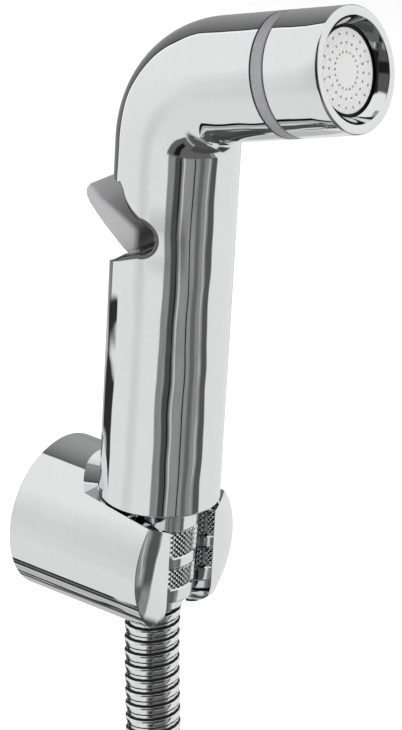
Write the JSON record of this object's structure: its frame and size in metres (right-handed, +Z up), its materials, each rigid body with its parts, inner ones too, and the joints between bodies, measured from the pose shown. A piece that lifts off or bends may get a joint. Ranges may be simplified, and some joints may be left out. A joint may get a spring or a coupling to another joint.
{
  "type": "handheld bidet shower",
  "caption": "Chrome handheld bidet shower with a thumb lever, resting in a forked wall bracket, with its metal hose put away in a hanging coil.",
  "frame": {"origin": "centre of the wall bracket's rear face, on the wall plane", "axes": "+Y into the wall, +Z up, +X to the right for a person who faces the wall; the spray head points along -Y"},
  "size_m": [0.1722, 0.0908, 0.4336],
  "materials": {
    "chrome": "polished chrome plate",
    "hose": "polished spiral metal hose",
    "steel": "plain stainless steel",
    "zinc": "matt zinc",
    "brass": "turned brass",
    "grey_plastic": "satin grey",
    "white_plastic": "white",
    "rubber": "black"
  },
  "bodies": {
    "shower": {"bracket_body": "chrome", "wall_disc": "zinc", "clamp_screw": "steel", "handset_body": "chrome", "valve_seat": "brass", "seat_seal": "rubber", "valve_cage": "white_plastic", "return_spring": "steel", "stem_gland": "brass", "stem_seal": "rubber", "inlet_spigot": "brass", "spigot_seal": "rubber", "nut_washer": "rubber", "upper_ferrule": "chrome", "cone_nut": "chrome", "head_core": "white_plastic", "core_seal": "rubber", "trim_ring": "grey_plastic", "head_sleeve": "chrome", "spray_plate": "white_plastic", "plate_seal": "rubber", "hose_run": "hose", "hose_coil": "hose", "hose_tail": "hose", "coil_tie": "rubber", "lower_ferrule": "chrome", "end_washer": "rubber"},
    "lever": {"trigger_lever": "grey_plastic", "lever_pin": "steel"},
    "stem": {"valve_stem": "steel", "poppet_washer": "rubber"},
    "supply_nut": {"hex_nut": "chrome"}
  },
  "joints": [
    {"name": "lever_hinge", "type": "hinge", "parent": "shower", "child": "lever", "pos_m": [0, -0.0215, 0.088], "axis": [1, 0, 0], "range_deg": [0, 11.4]},
    {"name": "stem_slide", "type": "slide", "parent": "shower", "child": "stem", "axis": [0, 0, -1], "range_m": [0, 0.00088], "stiffness_N_per_m": 1500, "springref_m": -0.0027, "deforming": ["return_spring"]},
    {"name": "supply_nut_swivel", "type": "hinge", "parent": "shower", "child": "supply_nut", "pos_m": [0.0775, -0.0731, -0.26], "axis": [0, 0, 1], "continuous": true}
  ],
  "couplings": [
    {"joint": "lever_hinge", "follows": "stem_slide", "rad_per_m": 212.77}
  ]
}
